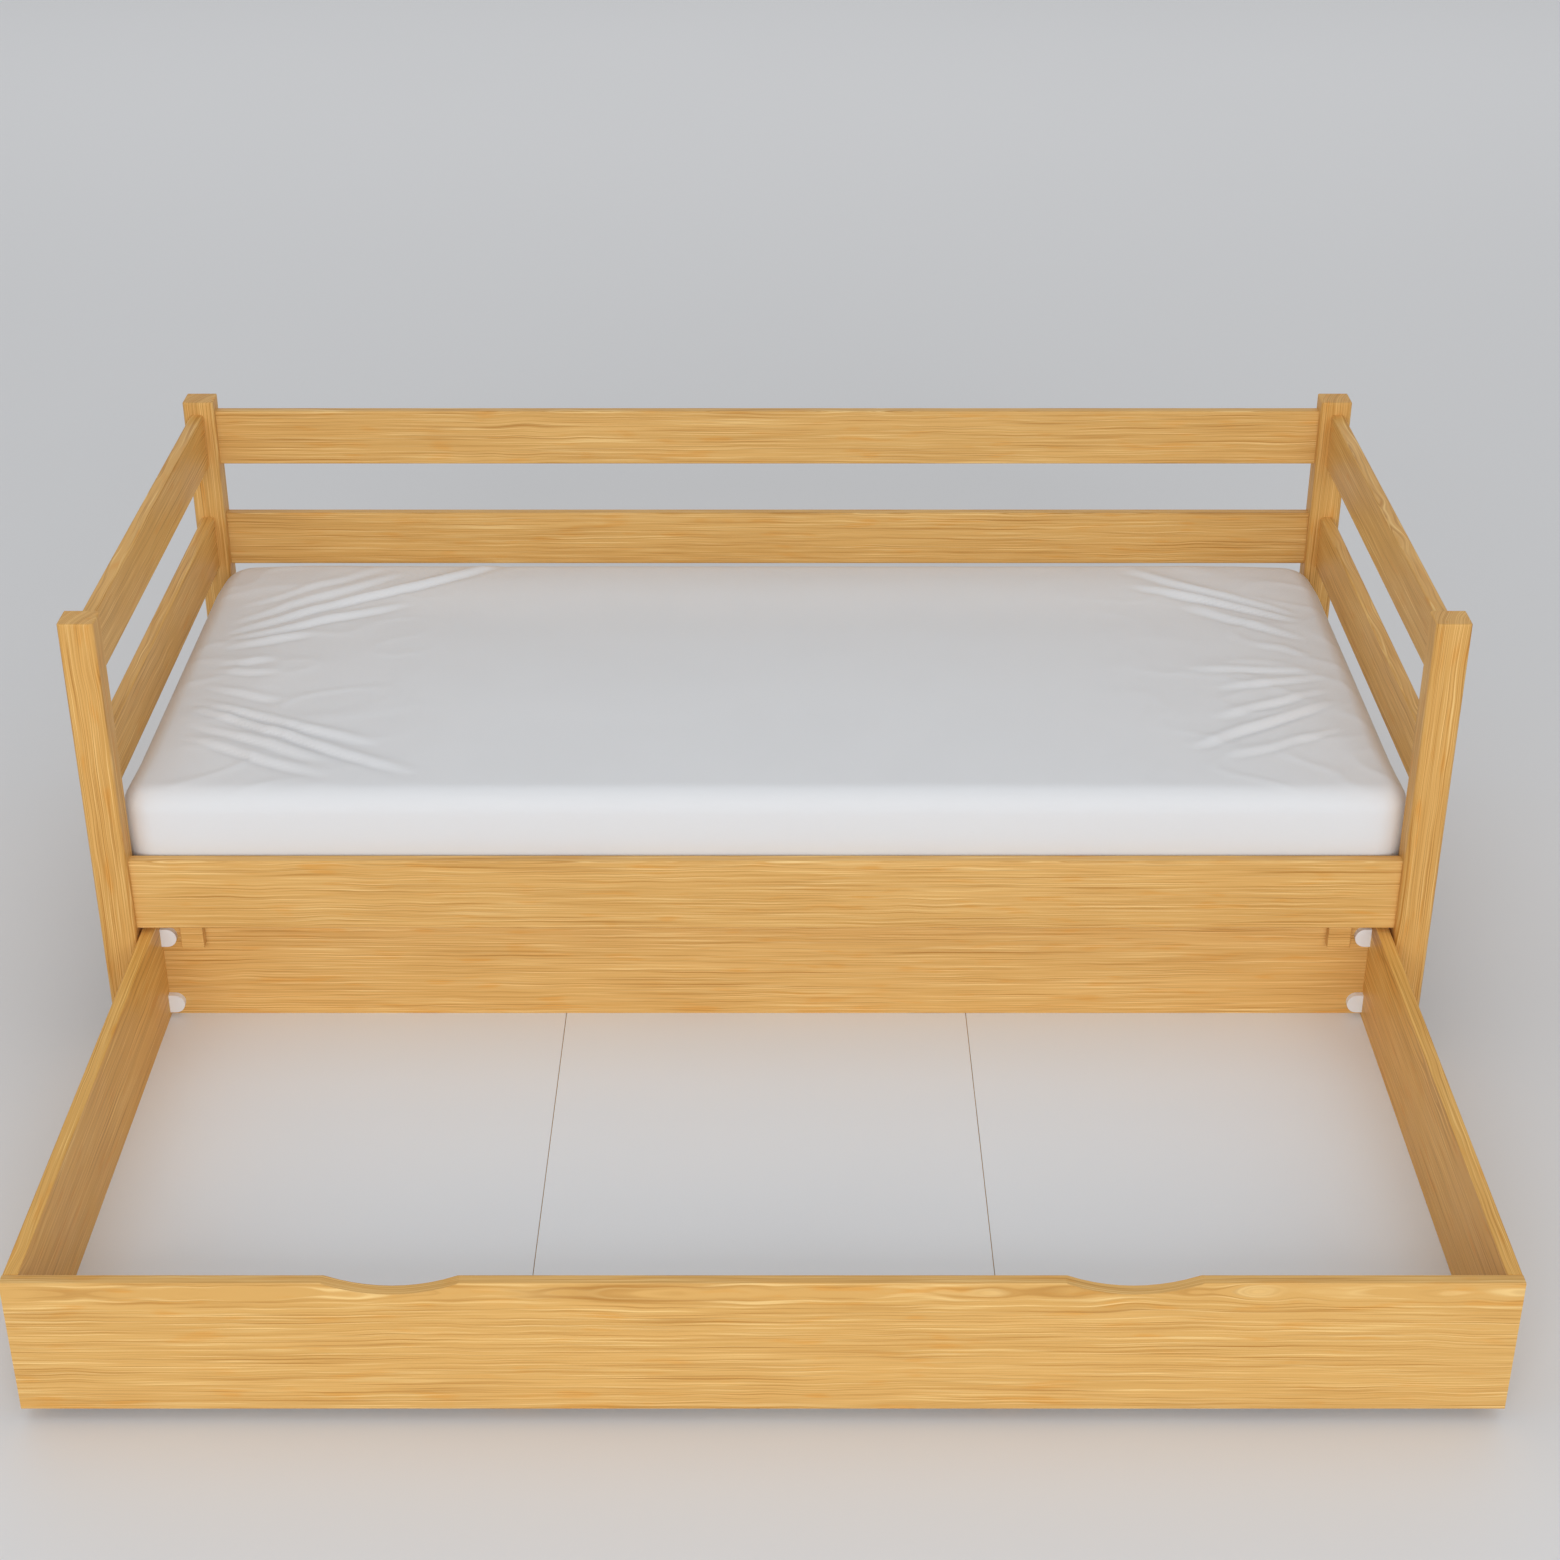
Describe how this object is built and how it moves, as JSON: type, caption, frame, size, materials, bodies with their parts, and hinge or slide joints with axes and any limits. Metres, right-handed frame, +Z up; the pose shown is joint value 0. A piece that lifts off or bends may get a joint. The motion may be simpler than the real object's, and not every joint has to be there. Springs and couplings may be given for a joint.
{
  "type": "trundle bed",
  "caption": "Pine day bed with a back guard rail and a low box that rolls out from under its side rail.",
  "frame": {"origin": "on the floor, under the middle of the whole bed with its trundle rolled out", "axes": "+X along the bed's length, to the right as seen from the open front; +Y across the bed towards the back guard rails; +Z up"},
  "size_m": [2.08, 1.804, 0.773],
  "materials": {
    "pine": "honey-stained pine, satin lacquer",
    "beech": "bare beech dowel",
    "white_board": "thin white-faced fibreboard",
    "white_plastic": "white moulded plastic",
    "grey_rubber": "soft grey tread",
    "steel": "zinc-plated steel",
    "webbing": "woven tape",
    "mattress_ticking": "woven mattress cover",
    "white_sheet": "white cotton fitted sheet"
  },
  "bodies": {
    "bed": {"post_front_left": "pine", "post_front_right": "pine", "post_back_left": "pine", "post_back_right": "pine", "end_rail_upper_left": "pine", "end_rail_lower_left": "pine", "end_rail_base_left": "pine", "end_rail_upper_right": "pine", "end_rail_lower_right": "pine", "end_rail_base_right": "pine", "back_rail_upper": "pine", "back_rail_lower": "pine", "back_rail_base": "pine", "front_side_rail": "pine", "slat_ledger_front": "pine", "slat_ledger_back": "pine", "slats": "pine", "slat_straps": "webbing", "slat_staples": "steel", "rail_dowels": "beech", "bed_bolts": "steel", "barrel_nuts": "steel", "ledger_screws": "steel", "floor_glides": "white_plastic"},
    "mattress": {"mattress": "mattress_ticking", "fitted_sheet": "white_sheet"},
    "trundle": {"trundle_front": "pine", "trundle_back": "pine", "trundle_side_left": "pine", "trundle_side_right": "pine", "trundle_floor_left": "white_board", "trundle_floor_middle": "white_board", "trundle_floor_right": "white_board", "trundle_bearers": "pine", "bearer_dowels": "beech", "corner_connectors": "white_plastic", "connector_bolts": "steel", "stop_blocks": "pine", "stop_screws": "steel", "castor_brackets": "steel", "castor_axles": "steel", "castor_screws": "steel"},
    "castor_front_left": {"castor_hub_front_left": "white_plastic", "castor_tread_front_left": "grey_rubber"},
    "castor_front_right": {"castor_hub_front_right": "white_plastic", "castor_tread_front_right": "grey_rubber"},
    "castor_back_left": {"castor_hub_back_left": "white_plastic", "castor_tread_back_left": "grey_rubber"},
    "castor_back_right": {"castor_hub_back_right": "white_plastic", "castor_tread_back_right": "grey_rubber"}
  },
  "joints": [
    {"name": "mattress_lift", "type": "slide", "parent": "bed", "child": "mattress", "axis": [0, 0, 1], "range_m": [0, 0.25]},
    {"name": "trundle_roll", "type": "slide", "parent": "bed", "child": "trundle", "axis": [0, 1, 0], "range_m": [-0.008, 0.849]},
    {"name": "castor_spin_front_left", "type": "hinge", "parent": "trundle", "child": "castor_front_left", "pos_m": [-0.9505, -0.794, 0.02], "axis": [1, 0, 0], "continuous": true},
    {"name": "castor_spin_front_right", "type": "hinge", "parent": "trundle", "child": "castor_front_right", "pos_m": [0.9505, -0.794, 0.02], "axis": [1, 0, 0], "continuous": true},
    {"name": "castor_spin_back_left", "type": "hinge", "parent": "trundle", "child": "castor_back_left", "pos_m": [-0.9505, -0.096, 0.02], "axis": [1, 0, 0], "continuous": true},
    {"name": "castor_spin_back_right", "type": "hinge", "parent": "trundle", "child": "castor_back_right", "pos_m": [0.9505, -0.096, 0.02], "axis": [1, 0, 0], "continuous": true}
  ],
  "couplings": [
    {"joint": "castor_spin_front_left", "follows": "trundle_roll", "rad_per_m": -50},
    {"joint": "castor_spin_front_right", "follows": "trundle_roll", "rad_per_m": -50},
    {"joint": "castor_spin_back_left", "follows": "trundle_roll", "rad_per_m": -50},
    {"joint": "castor_spin_back_right", "follows": "trundle_roll", "rad_per_m": -50}
  ]
}
